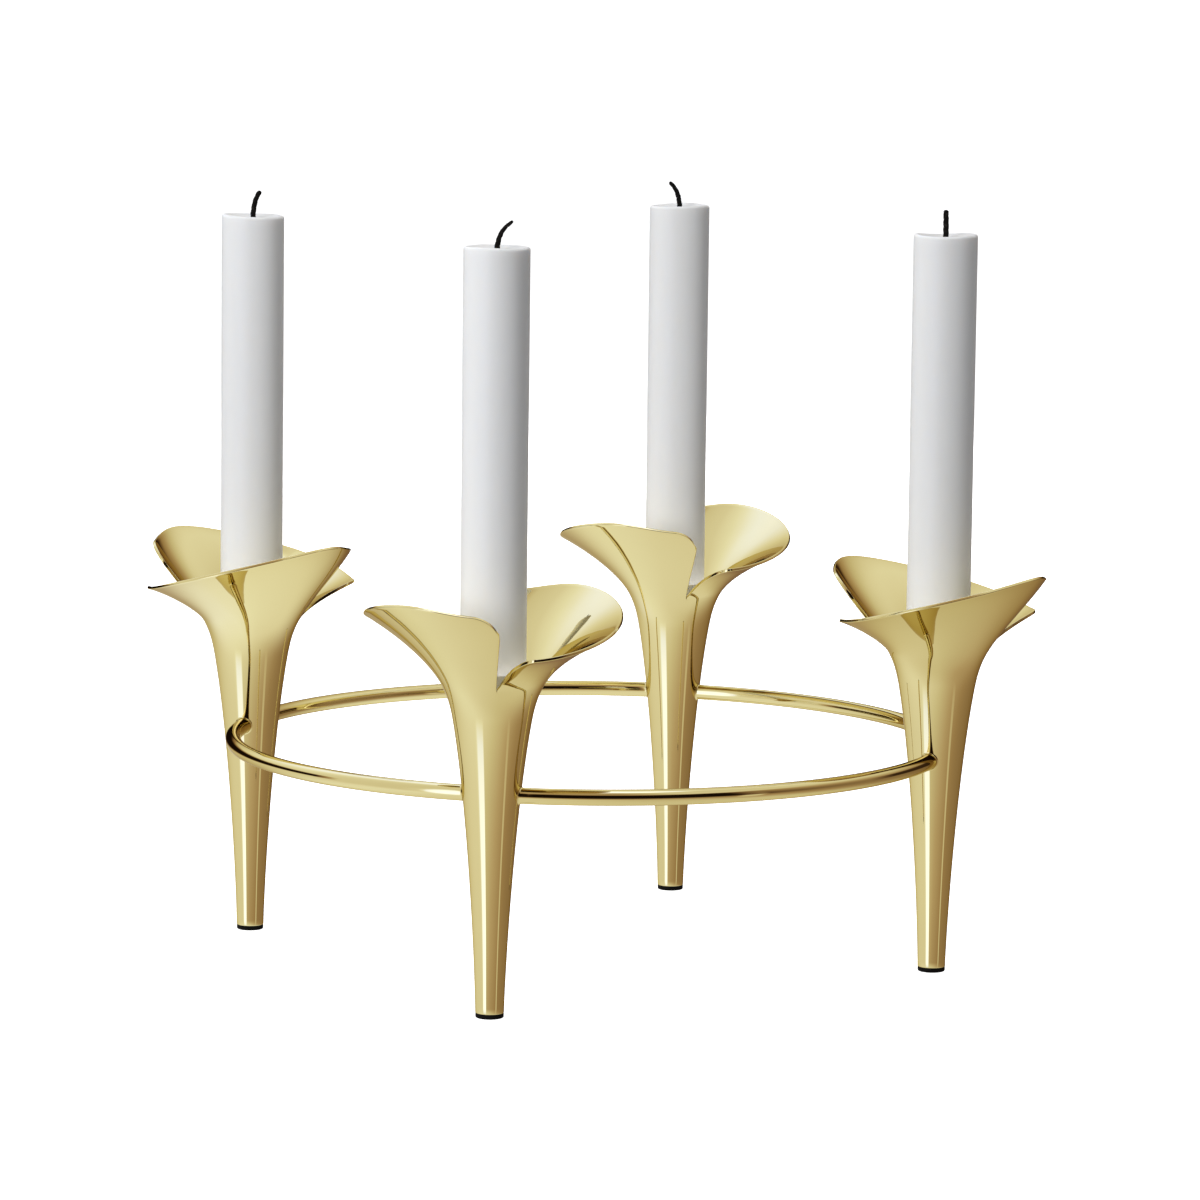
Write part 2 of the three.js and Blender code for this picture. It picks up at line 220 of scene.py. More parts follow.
def flare_side(z, turn):
    """Control points of a petal's flare at a turn, from the throat to the uncut rim."""
    start = np.array((z.throat_radius, z.throat_height))
    end = np.array((RIM_RADIUS(turn), z.throat_height + RIM_RISE(turn)))
    lower = np.array((THROAT_SLOPE, 1.0)) / math.hypot(THROAT_SLOPE, 1.0)
    slope = RIM_SLOPE(turn)
    upper = np.array((math.cos(slope), math.sin(slope)))
    return (start, start + lower * LOWER_PULL * (end[1] - start[1]),
            end - upper * UPPER_PULL * np.linalg.norm(end - start), end)


def standing(turn):
    """How much of the flare stands at a turn: little at the lip, most at the shoulder."""
    lip = smoothstep(min(max(turn / LIP_TURN, 0.0), 1.0))
    back = min(max((180 - turn) / SHOULDER_TURN, 0.0), 1.0)
    return min(LIP_START + (1 - LIP_START) * lip,
               SHOULDER_START + (1 - SHOULDER_START) * math.sqrt(1 - (1 - back) ** 2))


def radius_at(z, height):
    """The leg's radius at a height, found by halving."""
    low, high = 0.0, 1.0
    for _ in range(HALVINGS):
        middle = (low + high) / 2
        if bezier(leg_side(z), [middle])[0][1] < height:
            low = middle
        else:
            high = middle
    return bezier(leg_side(z), [low])[0][0]


# Meshes

MERGE = 1e-7  # points that lie closer than this many metres are one
# Degrees past which an edge stays hard, on each kind of piece
TRUMPET_CREASE, ROD_CREASE, PAD_CREASE, WICK_CREASE = 38, 60, 50, 70


def finish_mesh(name, points, faces, sharp=None):
    """A smooth-shaded object from points and faces, with its faces pointing out. Edges that turn
    by more than the sharp angle, in degrees, stay hard."""
    mesh = bpy.data.meshes.new(name)
    mesh.from_pydata([tuple(map(float, p)) for p in points], [], faces)
    work = bmesh.new()
    work.from_mesh(mesh)
    bmesh.ops.remove_doubles(work, verts=work.verts, dist=MERGE)
    bmesh.ops.recalc_face_normals(work, faces=work.faces)
    if work.calc_volume(signed=True) < 0:
        bmesh.ops.reverse_faces(work, faces=work.faces)
    open_edges = sum(1 for e in work.edges if len(e.link_faces) != 2)
    if open_edges:
        raise RuntimeError(f"{name} isn't closed: {open_edges} edges")
    for face in work.faces:
        face.smooth = True
    if sharp is not None:
        for edge in work.edges:
            edge.smooth = edge.calc_face_angle(0.0) < math.radians(sharp)
    work.to_mesh(mesh)
    work.free()
    thing = bpy.data.objects.new(name, mesh)
    bpy.context.scene.collection.objects.link(thing)
    return thing


def strip(left, right):
    """Quads between two columns of points."""
    return [(left[k], right[k], right[k + 1], left[k + 1]) for k in range(len(left) - 1)]


def tube_faces(rows, sides):
    """Quads round a tube whose points lie row by row."""
    faces = []
    for i in range(rows - 1):
        for j in range(sides):
            k = (j + 1) % sides
            faces.append((i * sides + j, i * sides + k, (i + 1) * sides + k, (i + 1) * sides + j))
    return faces


def place(thing, body, nodes, material):
    """Gives a piece its material, its body and the solids that it stands for."""
    thing.data.materials.append(material)
    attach(thing, body)
    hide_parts(*nodes)


def leg_centre(z, leg):
    """Where a leg's middle stands on the floor."""
    angle = math.radians(DIRECTIONS[leg])
    return np.array((z.ring_radius * math.cos(angle), z.ring_radius * math.sin(angle), 0.0))


SIDE_ROWS, THROAT_ROWS, FLARE_ROWS, RIM_ROWS, MOUTH_ROWS, FOOT_ROWS = 46, 8, 30, 10, 12, 4
FIRST_TURN, LAST_TURN = 2.6, 177.4  # a petal's first and last column past its rounded ends
# Columns over the lip and over the shoulder, and the degrees that they go past each
LIP_COLUMNS, LIP_PAST = 15, 4
SHOULDER_COLUMNS, SHOULDER_PAST = 17, 3
LENGTH_STEPS = 200  # steps in which a flare's length is measured
FADE_ROWS = 3  # rows over which the rounding of a cut edge sets in above the throat
RIM_EDGE = 0.45  # rounding of the rim's two edges, as a share of half the wall
RIM_REACH = 0.45  # the most of a flare's length that the rounding takes
RIM_TRIM = 0.08 * MM  # keeps the smooth rim inside the faceted solid's
END_STEPS = (0.0, 0.12, 0.4, 1.0)  # columns over the rounding of a cut edge, as its shares


def petal_turns(z):
    """Turns of the columns of one petal between its two rounded ends."""
    lip = np.linspace(FIRST_TURN, LIP_TURN + LIP_PAST, LIP_COLUMNS)
    shoulder = np.linspace(180 - SHOULDER_TURN - SHOULDER_PAST, LAST_TURN, SHOULDER_COLUMNS)
    middle = np.linspace(lip[-1], shoulder[0], z.petal_columns + 2)[1:-1]
    return np.concatenate([lip, middle, shoulder])


def column_plan(z):
    """Columns of one petal from cut to cut. Each has its turn, its arc from the cut, the side of
    the cut that it is on (0 away from the cuts) and how much it is thinned."""
    ends = []
    for share in END_STEPS:
        inset = z.cut_edge * (1 - math.sqrt(1 - (1 - share) ** 2))
        ends.append((z.cut_gap / 2 + share * z.cut_edge, inset))
    columns = [(0.0, arc, 1, inset) for arc, inset in ends]
    columns += [(turn, 0.0, 0, 0.0) for turn in petal_turns(z)]
    return columns + [(180.0, arc, -1, inset) for arc, inset in reversed(ends)]


def petal_column(z, turn, inset):
    """Outer flare, rim and inner flare of a petal at a turn, thinned by inset on each side."""
    side = flare_side(z, turn)
    share = np.linspace(0, 1, FLARE_ROWS + 1)[1:]
    fine = np.linspace(0, standing(turn), LENGTH_STEPS)
    length = run_length(bezier(side, fine))
    edge = min(RIM_EDGE * z.wall / 2, length[-1] * RIM_REACH)
    stops = np.interp(share * (length[-1] - edge - RIM_TRIM), length, fine)
    points = bezier(side, stops)
    normals = outward(bezier_slope(side, stops))
    fade = np.minimum(np.arange(1, FLARE_ROWS + 1) / FADE_ROWS, 1.0)[:, None]
    outer = points - normals * inset * fade
    inner = points - normals * (z.wall - inset * fade)
    half = z.wall / 2 - inset
    angles = np.linspace(0, math.pi / 2, RIM_ROWS // 2 + 1)[1:]
    across = 1 - RIM_EDGE + RIM_EDGE * np.cos(angles)
    rise = np.sin(angles) * half * edge / (z.wall / 2)
    aside = normals[-1] * half * across[:, None]
    ahead = bezier_slope(side, stops[-1:])[0] * rise[:, None]
    centre = points[-1] - normals[-1] * z.wall / 2
    rim = centre + np.concatenate([ahead + aside, (ahead - aside)[::-1]])
    return outer, rim, inner[::-1]


def outer_profile(z):
    """Radius and height from under the foot, up the side, to the bottom of the cuts."""
    arc = np.linspace(0, math.pi / 2, FOOT_ROWS)
    foot = [(z.foot_radius - z.foot_edge + z.foot_edge * math.sin(a),
             z.pad_height + z.foot_edge - z.foot_edge * math.cos(a)) for a in arc]
    low = z.foot_edge / (3 * z.side_handle)
    return np.concatenate([foot, bezier(leg_side(z), np.linspace(low, 1, SIDE_ROWS))[1:],
                           bezier(throat_side(z), np.linspace(0, 1, THROAT_ROWS))[1:]])


def socket_profile(z):
    """Radius and height from inside the bottom of the cuts down to the candle's seat."""
    slope = np.array([[THROAT_SLOPE, 1.0]]) / math.hypot(THROAT_SLOPE, 1.0)
    brim = np.array((z.throat_radius, z.throat_height)) - outward(slope)[0] * z.wall
    bore_top = np.array((z.bore_radius, z.seat_height + z.bore_depth))
    reach = np.linalg.norm(brim - bore_top) / 3
    mouth = bezier((brim, brim - slope[0] * reach, bore_top + (0, reach), bore_top),
                   np.linspace(0, 1, MOUTH_ROWS))
    return np.concatenate([mouth, [(z.bore_radius, z.seat_height)]])


def trumpet_mesh(name, z, centre, direction):
    """A leg and its cup in one skin: every column runs from under the foot, up the outside, over
    the rim, down into the socket. The two petals share the columns of the cuts below the throat."""
    lower, upper = outer_profile(z), socket_profile(z)
    columns = column_plan(z)
    last = len(columns) - 1
    points = []

    def add(r, angle, height):
        points.append((centre[0] + r * math.cos(angle), centre[1] + r * math.sin(angle), height))
        return len(points) - 1

    shared, petals = [], []
    for petal in range(2):
        start = math.radians(direction + 180 * petal)
        made = []
        for c, (turn, arc, side, inset) in enumerate(columns):
            flat = turn + side * math.degrees(arc / z.throat_radius)
            outer, rim, inner = petal_column(z, min(max(flat, 0.0), 180.0), inset)
            made.append([add(r, start + math.radians(turn) + side * arc / r, h)
                         for r, h in np.concatenate([outer, rim, inner])])
            if c < last:
                base = start + math.radians(flat) if c else start
                shared.append(([add(r, base, h) for r, h in lower],
                               [add(r, base, h) for r, h in upper]))
        petals.append(made)

    # The leg and the socket, closed under the foot and at the candle's seat
    under = add(0, 0, z.pad_height)
    seat = add(0, 0, z.seat_height)
    faces = []
    for i, (outside, inside) in enumerate(shared):
        next_outside, next_inside = shared[(i + 1) % len(shared)]
        faces += strip(outside, next_outside) + strip(inside, next_inside)
        faces.append((under, next_outside[0], outside[0]))
        faces.append((inside[-1], next_inside[-1], seat))
    # The petals, and at each cut the face between the outer and the inner flare
    for petal, made in enumerate(petals):
        whole = []
        for c, column in enumerate(made):
            outside, inside = shared[(petal * last + c) % len(shared)]
            whole.append([outside[-1]] + column + [inside[0]])
        for left, right in zip(whole, whole[1:]):
            faces += strip(left, right)
        for ids, turned in ((whole[0], -1), (whole[-1], 1)):
            end = [(ids[k], ids[k + 1], ids[-2 - k], ids[-1 - k]) for k in range(FLARE_ROWS)]
            end.append(tuple(ids[FLARE_ROWS:FLARE_ROWS + RIM_ROWS + 2]))
            faces += [face[::turned] for face in end]
    return finish_mesh(name, points, faces, sharp=TRUMPET_CREASE)


ROD_SIDES, ROD_STEPS, FILLET_STEPS = 32, 64, 6
ROD_SINK = 0.02 * MM  # how far a rod's end goes past the leg's skin


def rod_mesh(name, z, start, end):
    """A quarter of the ring with its ends spread into braze fillets on the legs."""
    span = math.radians(end - start)
    half_length = span * z.ring_radius / 2
    stops = [z.braze * (1 - math.cos(math.pi / 2 * i / FILLET_STEPS))
             for i in range(FILLET_STEPS + 1)]
    plain = np.linspace(z.braze / z.ring_radius, span / 2, ROD_STEPS // 2)[1:]
    stops += list(plain * z.ring_radius)

    def touching(u, v):
        """The turn at which a line of the rod, beside its middle and above it, meets the leg."""
        rho = z.ring_radius + u
        reach = radius_at(z, z.ring_height + v) - ROD_SINK
        return math.acos((rho ** 2 + z.ring_radius ** 2 - reach ** 2) / (2 * rho * z.ring_radius))

    rows = []
    for s in stops:
        w = min(s / z.braze, 1.0)
        r = z.rod_radius + z.braze * (1 - math.sqrt(1 - (1 - w) ** 2))
        row = []
        for a in np.linspace(0, 2 * math.pi, ROD_SIDES, endpoint=False):
            u, v = r * math.cos(a), r * math.sin(a)
            at = touching(u, v)
            row.append((u, v, at + s / half_length * (span / 2 - at)))
        rows.append(row)
    rows += [[(u, v, span - t) for u, v, t in row] for row in reversed(rows[:-1])]
    points = []
    for u, v, t in (spot for row in rows for spot in row):
        angle = math.radians(start) + t
        points.append(((z.ring_radius + u) * math.cos(angle),
                       (z.ring_radius + u) * math.sin(angle), z.ring_height + v))
    faces = tube_faces(len(rows), ROD_SIDES)
    faces.append(tuple(range(ROD_SIDES)))
    faces.append(tuple(reversed(range(len(points) - ROD_SIDES, len(points)))))
    return finish_mesh(name, points, faces, sharp=ROD_CREASE)


def turned_mesh(name, rows, sides, centre, sharp=None):
    """A closed skin from rows of radius and height, each a number or one number a side."""
    points = []
    angles = np.linspace(0, 2 * math.pi, sides, endpoint=False)
    for radius, height in rows:
        for r, h, a in zip(np.broadcast_to(radius, sides), np.broadcast_to(height, sides), angles):
            points.append((centre[0] + r * math.cos(a), centre[1] + r * math.sin(a), h))
    faces = tube_faces(len(rows), sides)
    for i in (0, len(rows) - 1):
        heights = [p[2] for p in points[i * sides:(i + 1) * sides]]
        points.append((centre[0], centre[1], float(np.mean(heights))))
        for j in range(sides):
            faces.append((i * sides + j, i * sides + (j + 1) % sides, len(points) - 1))
    return finish_mesh(name, points, faces, sharp)


# The burnt top of each candle: strength in millimetres and phase of its first three waves
BURNT_TOPS = {"front": ((0.12, 200), (0.10, 80), (0.06, 20)),
              "right": ((0.05, 10), (0.24, 20), (0.10, 60)),
              "back": ((0.20, 30), (0.14, 100), (0.10, 210)),
              "left": ((0.30, 175), (0.08, 40), (0.05, 300))}

CANDLE_SIDES, CANDLE_ROWS, TOP_STEPS = 96, 26, 7
BUTT_INNER, BUTT_EDGE, BUTT_CORNER = 0.5, 0.5 * MM, 0.15 * MM  # the flat lower end
PLAIN_FROM, PLAIN_TO = 4 * MM, 6 * MM  # even rows: above the seat, and to below the top
EASED_ROWS = ((3.5 * MM, 0.5), (2.2 * MM, 0.8))  # below the top, and the share of its waves there
DISH_RADIUS, DISH_SLOPE = 0.92, 1.25  # where the dish starts, and how soon it is at its depth
DISH_ROWS = (0.86, 0.78, 0.68, 0.56, 0.44, 0.33, 0.22, 0.14)  # shares of the candle's radius
WELL_ROWS = ((1.15, 0.93), (0.6, 0.9))  # at the wick: shares of its radius and the dish's depth


def candle_mesh(name, z, centre, waves):
    """A candle with a softened, slightly uneven top round a shallow dish."""
    angles = np.linspace(0, 2 * math.pi, CANDLE_SIDES, endpoint=False)
    wave = sum(MM * size * np.cos((k + 1) * (angles - math.radians(phase)))
               for k, (size, phase) in enumerate(waves))
    wave = wave - wave.max()
    top = z.candle_top + wave
    even = z.candle_top + wave.mean()
    r, e = z.candle_radius, z.candle_edge
    rows = [(r * BUTT_INNER, z.seat_height), (r - BUTT_EDGE, z.seat_height),
            (r - BUTT_CORNER, z.seat_height + BUTT_CORNER), (r, z.seat_height + BUTT_EDGE)]
    for h in np.linspace(z.seat_height + PLAIN_FROM, z.candle_top - PLAIN_TO, CANDLE_ROWS):
        rows.append((r, h))
    for below, share in EASED_ROWS:
        rows.append((r, z.candle_top - below + wave * share))
    for a in np.linspace(0, math.pi / 2, TOP_STEPS):
        rows.append((r - e + e * math.cos(a), top - e + e * math.sin(a)))
    for share in DISH_ROWS:
        u = (DISH_RADIUS - share) / DISH_RADIUS
        smooth = smoothstep(u)
        sunk = z.dish_depth * math.sin(min(u * DISH_SLOPE, 1) * math.pi / 2)
        rows.append((r * share, top * (1 - smooth) + even * smooth - sunk))
    for share, depth in WELL_ROWS:
        rows.append((z.wick_radius * share, even - z.dish_depth * depth))
    return turned_mesh(name, rows, CANDLE_SIDES, centre)


PAD_SIDES, PAD_STEPS, PAD_INNER = 64, 6, 0.6
PAD_INSET, PAD_BEVEL = 0.05 * MM, 0.12 * MM  # inside the foot's edge, and at its own upper edge


def pad_mesh(name, z, centre):
    """A rubber pad with a rounded lower edge."""
    r, e = z.foot_radius - PAD_INSET, z.pad_edge
    rows = [(r * PAD_INNER, 0.0)]
    for a in np.linspace(0, math.pi / 2, PAD_STEPS):
        rows.append((r - e + e * math.sin(a), e - e * math.cos(a)))
    rows += [(r, z.pad_height - PAD_BEVEL), (r - PAD_BEVEL, z.pad_height),
             (r * PAD_INNER, z.pad_height)]
    return turned_mesh(name, rows, PAD_SIDES, centre, sharp=PAD_CREASE)


WICK_ROWS, WICK_SIDES, WICK_STRANDS = 66, 36, 3
# How far the wick starts below the wax and ends below its full height
WICK_ROOT, WICK_TIP = 1.2 * MM, 0.35 * MM
WICK_BEND = ((0.12, 0.35), (0.45, 0.70))  # shares of the lean and of the height on its way up
# Length in which a loose strand turns into the next one's place, and how much tighter it is here
TWIST_PITCH, TWIST_RATE = 2.6 * MM, 1.1
# Length of the rounded tip, its size at the very end, and how late along the wick it thins
TIP_ROUND, TIP_SHARE, THINNING = 0.9 * MM, 0.25, 1.5
STRAND_DEPTH, STRAND_SHAPE = 0.20, 0.6  # of the grooves between the strands
LUMP_DRAWS, LUMP_SIZE = (70, 3), 0.045  # random numbers, and how much the thickness varies
FRAY_SIZE, FRAY_WAVES, FRAY_SHIFT = 0.02, 7, 9  # of the small bumps round the wick


def wick_mesh(name, z, centre, lean, towards, tip, seed):
    """A twisted, burnt cord that leans over to its tip."""
    root = z.candle_top - z.dish_depth
    direction = np.array((math.cos(math.radians(towards)), math.sin(math.radians(towards)), 0.0))
    up = np.array((0.0, 0.0, 1.0))
    knots = [(0, -WICK_ROOT), (0, 0)]
    knots += [(lean * aside, z.wick_height * height) for aside, height in WICK_BEND]
    knots.append((lean, z.wick_height - WICK_TIP))
    across, rise = (Spline(range(len(knots)), values) for values in zip(*knots))
    lumps = np.random.default_rng(seed).normal(0, 1, LUMP_DRAWS)
    line = np.array([centre + direction * across(s) + up * (root + rise(s))
                     for s in np.linspace(0, len(knots) - 1, WICK_ROWS)])
    tangent = np.gradient(line, axis=0)
    tangent /= np.linalg.norm(tangent, axis=1)[:, None]
    binormal = np.cross(direction, up)
    travelled = run_length(line)
    points = []
    for i in range(WICK_ROWS):
        normal = np.cross(binormal, tangent[i])
        twist = travelled[i] / TWIST_PITCH * 2 * math.pi / WICK_STRANDS * TWIST_RATE
        end = min(1.0, (travelled[-1] - travelled[i]) / TIP_ROUND)
        thin = 1.0 - (1.0 - tip) * min(travelled[i] / travelled[-1], 1.0) ** THINNING
        size = z.wick_radius * thin * (TIP_SHARE + (1 - TIP_SHARE) * math.sqrt(1 - (1 - end) ** 2))
        size *= 1 + LUMP_SIZE * lumps[i, 0]
        for j in range(WICK_SIDES):
            a = 2 * math.pi * j / WICK_SIDES
            lobe = abs(math.cos(WICK_STRANDS / 2 * (a - twist)))
            r = size * (1 - STRAND_DEPTH + STRAND_DEPTH * lobe ** STRAND_SHAPE)
            r *= 1 + FRAY_SIZE * math.sin(FRAY_WAVES * a + FRAY_SHIFT * lumps[i, 1])
            points.append(line[i] + r * (math.cos(a) * normal + math.sin(a) * binormal))
    faces = tube_faces(WICK_ROWS, WICK_SIDES)
    faces.append(tuple(reversed(range(WICK_SIDES))))
    faces.append(tuple(range(len(points) - WICK_SIDES, len(points))))
    return finish_mesh(name, points, faces, sharp=WICK_CREASE)


# Effects that materials share


def new_group(name, inputs, outputs):
    """A shader node group with named inputs and outputs, and its two end nodes."""
    group = bpy.data.node_groups.new(name, "ShaderNodeTree")
    for title, kind, value in inputs:
        socket = group.interface.new_socket(title, in_out="INPUT", socket_type=kind)
        if value is not None:
            socket.default_value = value
    for title, kind in outputs:
        group.interface.new_socket(title, in_out="OUTPUT", socket_type=kind)
    source = group.nodes.new("NodeGroupInput")
    result = group.nodes.new("NodeGroupOutput")
    return group, source, result


def stretched_noise(group, source):
    """Noise over a piece's own space, at the stretch and scale that the group is given."""
    nodes, links = group.nodes, group.links
    where = nodes.new("ShaderNodeTexCoord")
    stretch = nodes.new("ShaderNodeVectorMath")
    stretch.operation = "MULTIPLY"
    links.new(where.outputs["Object"], stretch.inputs[0])
    links.new(source.outputs["Stretch"], stretch.inputs[1])
    noise = nodes.new("ShaderNodeTexNoise")
    links.new(stretch.outputs[0], noise.inputs["Vector"])
    links.new(source.outputs["Scale"], noise.inputs["Scale"])
    return noise


def cloud_group():
    """Soft clouds: a colour that varies a little and a mask, with named scale and contrast."""
    group, source, result = new_group(
        "Soft clouds",
        [("Dark", "NodeSocketColor", (0, 0, 0, 1)), ("Light", "NodeSocketColor", (1, 1, 1, 1)),
         ("Scale", "NodeSocketFloat", 40.0), ("Detail", "NodeSocketFloat", 4.0),
         ("Low", "NodeSocketFloat", 0.3), ("High", "NodeSocketFloat", 0.7),
         ("Stretch", "NodeSocketVector", (1, 1, 1))],
        [("Colour", "NodeSocketColor"), ("Mask", "NodeSocketFloat")])
    nodes, links = group.nodes, group.links
    noise = stretched_noise(group, source)
    links.new(source.outputs["Detail"], noise.inputs["Detail"])
    spread = nodes.new("ShaderNodeMapRange")
    links.new(noise.outputs["Fac"], spread.inputs["Value"])
    links.new(source.outputs["Low"], spread.inputs["From Min"])
    links.new(source.outputs["High"], spread.inputs["From Max"])
    mix = nodes.new("ShaderNodeMix")
    mix.data_type = "RGBA"
    links.new(spread.outputs["Result"], mix.inputs["Factor"])
    links.new(source.outputs["Dark"], mix.inputs["A"])
    links.new(source.outputs["Light"], mix.inputs["B"])
    links.new(mix.outputs["Result"], result.inputs["Colour"])
    links.new(spread.outputs["Result"], result.inputs["Mask"])
    return group


def grain_group():
    """Fine grain as a normal, with named scale, strength and height."""
    group, source, result = new_group(
        "Fine grain",
        [("Scale", "NodeSocketFloat", 400.0), ("Strength", "NodeSocketFloat", 0.2),
         ("Distance", "NodeSocketFloat", 0.0001), ("Stretch", "NodeSocketVector", (1, 1, 1))],
        [("Normal", "NodeSocketVector")])
    nodes, links = group.nodes, group.links
    noise = stretched_noise(group, source)
    noise.inputs["Detail"].default_value = 3.0
    bump = nodes.new("ShaderNodeBump")
    links.new(noise.outputs["Fac"], bump.inputs["Height"])
    links.new(source.outputs["Strength"], bump.inputs["Strength"])
    links.new(source.outputs["Distance"], bump.inputs["Distance"])
    links.new(bump.outputs["Normal"], result.inputs["Normal"])
    return group


def effect(name, maker):
    """The group of a name, built once."""
    return bpy.data.node_groups.get(name) or maker()


def material(name, **sockets):
    """A material with plain values on its Principled shader, or the one already made."""
    made = bpy.data.materials.get(name)
    if made:
        return made, None, None
    made = bpy.data.materials.new(name)
    made.use_nodes = True
    shader = made.node_tree.nodes["Principled BSDF"]
    for title, value in sockets.items():
        shader.inputs[title.replace("_", " ")].default_value = value
    return made, made.node_tree, shader


def place_group(tree, group, values):
    """A group placed in a material with its own values."""
    node = tree.nodes.new("ShaderNodeGroup")
    node.node_tree = group
    for title, value in values.items():
        node.inputs[title].default_value = value
    return node


def cloudy_colour(tree, shader, dark, light, **values):
    """Feeds the shader's colour with soft clouds from dark to light."""
    clouds = place_group(tree, effect("Soft clouds", cloud_group),
                         {"Dark": tuple(dark) + (1,), "Light": tuple(light) + (1,), **values})
    tree.links.new(clouds.outputs["Colour"], shader.inputs["Base Color"])


def grainy_normal(tree, shader, **values):
    """Feeds the shader's normal with fine grain."""
    grain = place_group(tree, effect("Fine grain", grain_group), values)
    tree.links.new(grain.outputs["Normal"], shader.inputs["Normal"])


def shaded(colour, share):
    """A colour made darker or lighter."""
    return tuple(c * share for c in colour)


METAL_EDGE = (0.70, 0.61, 0.43, 1)  # the metal's tint where it is seen at a slant
HAZE = 1.9  # roughness of the haziest spots, as a share of the clearest
# The other end of the soft clouds in a finish, as a share of its colour
METAL_CLOUD, WAX_CLOUD, RUBBER_CLOUD = 0.965, 0.97, 2.2


def polished_metal(colours):
    """Polished pale gold with a faint haze and the soft waves of hand polishing."""
    made, tree, shader = material("polished_pale_gold", Metallic=1.0, IOR=1.5,
                                  Specular_Tint=METAL_EDGE)
    if tree is None:
        return made
    cloudy_colour(tree, shader, shaded(colours.metal, METAL_CLOUD), colours.metal,
                  Scale=18.0, Detail=3.0, Low=0.35, High=0.6)
    haze = place_group(tree, effect("Soft clouds", cloud_group),
                       {"Scale": 55.0, "Detail": 6.0, "Low": 0.35, "High": 0.8})
    rough = tree.nodes.new("ShaderNodeMapRange")
    rough.inputs["To Min"].default_value = colours.metal_roughness
    rough.inputs["To Max"].default_value = colours.metal_roughness * HAZE
    tree.links.new(haze.outputs["Mask"], rough.inputs["Value"])
    tree.links.new(rough.outputs["Result"], shader.inputs["Roughness"])
    grainy_normal(tree, shader, Scale=45.0, Strength=colours.metal_wave, Distance=0.0012,
                  Stretch=(1, 1, 0.35))
    return made


def candle_wax(colours):
    """White wax that lets a little light in, with long faint streaks."""
    made, tree, shader = material("white_wax", Roughness=0.42, IOR=1.44, Subsurface_Weight=0.35,
                                  Subsurface_Radius=(0.004, 0.0036, 0.0032), Subsurface_Scale=1.0,
                                  Coat_Weight=0.0)
    if tree is None:
        return made
    cloudy_colour(tree, shader, shaded(colours.wax, WAX_CLOUD), colours.wax,
                  Scale=30.0, Detail=4.0, Stretch=(1, 1, 0.25))
    grainy_normal(tree, shader, Scale=260.0, Strength=0.12, Distance=0.0003,
                  Stretch=(1, 1, 0.12))
    return made


ASH = (0.03, 0.027, 0.024)  # specks on the burnt wick


def burnt_cord(colours):
    """Charred cotton with grey specks of ash."""
    made, tree, shader = material("burnt_wick", Roughness=0.85, Specular_IOR_Level=0.1)
    if tree is None:
        return made
    cloudy_colour(tree, shader, colours.char, ASH, Scale=900.0, Detail=4.0, Low=0.55, High=0.8)
    grainy_normal(tree, shader, Scale=2200.0, Strength=0.7, Distance=0.0002)
    return made


def pad_rubber(colours):
    """Dull black rubber."""
    made, tree, shader = material("black_rubber", Roughness=0.7, Specular_IOR_Level=0.06)
    if tree is None:
        return made
    cloudy_colour(tree, shader, colours.rubber, shaded(colours.rubber, RUBBER_CLOUD),
                  Scale=500.0, Detail=3.0)
    grainy_normal(tree, shader, Scale=1500.0, Strength=0.35, Distance=0.0001)
    return made


# Operators: one for each kind of piece, and one for the stage


class HOLDER_OT_trumpets(bpy.types.Operator):
    """Make the four legs with their cups"""
    bl_idname = "holder.trumpets"
    bl_label = "Legs and cups"

    def execute(self, context):
        z, colours = context.scene.holder_sizes, context.scene.holder_colours
        for leg in LEGS:
            thing = trumpet_mesh(f"trumpet_{leg}", z, leg_centre(z, leg),
                                 DIRECTIONS[leg] + CUP_TURNS[leg])
            place(thing, "holder", (f"leg_{leg}", f"petal_{leg}_a", f"petal_{leg}_b"),
                  polished_metal(colours))
        return {"FINISHED"}


class HOLDER_OT_ring(bpy.types.Operator):
    """Make the four rods of the ring"""
    bl_idname = "holder.ring"
    bl_label = "Ring"

    def execute(self, context):
        z, colours = context.scene.holder_sizes, context.scene.holder_colours
        for i, leg in enumerate(LEGS):
            after = LEGS[(i + 1) % len(LEGS)]
            start = DIRECTIONS[leg]
            thing = rod_mesh(f"rod_{leg}_{after}", z, start, start + 90)
            place(thing, "holder", (f"ring_rod_{leg}_{after}",), polished_metal(colours))
        return {"FINISHED"}


class HOLDER_OT_pads(bpy.types.Operator):
    """Make the rubber pads under the legs"""
    bl_idname = "holder.pads"
    bl_label = "Foot pads"

    def execute(self, context):
        z, colours = context.scene.holder_sizes, context.scene.holder_colours
        for leg in LEGS:
            thing = pad_mesh(f"pad_{leg}", z, leg_centre(z, leg))
            place(thing, "holder", (f"foot_pad_{leg}",), pad_rubber(colours))
        return {"FINISHED"}


class HOLDER_OT_candles(bpy.types.Operator):
    """Make the four candles"""
    bl_idname = "holder.candles"
    bl_label = "Candles"

    def execute(self, context):
        z, colours = context.scene.holder_sizes, context.scene.holder_colours
        for leg in LEGS:
            thing = candle_mesh(f"wax_{leg}", z, leg_centre(z, leg), BURNT_TOPS[leg])
            place(thing, f"taper_{leg}", (f"candle_{leg}",), candle_wax(colours))
        return {"FINISHED"}


class HOLDER_OT_wicks(bpy.types.Operator):
    """Make the four burnt wicks"""
    bl_idname = "holder.wicks"
    bl_label = "Wicks"

    def execute(self, context):
        z, colours = context.scene.holder_sizes, context.scene.holder_colours
        for seed, leg in enumerate(LEGS):
            lean, towards, tip = WICK_LEANS[leg]
            thing = wick_mesh(f"cord_{leg}", z, leg_centre(z, leg), lean * MM, towards, tip, seed)
            place(thing, f"taper_{leg}", (f"wick_{leg}",), burnt_cord(colours))
        return {"FINISHED"}


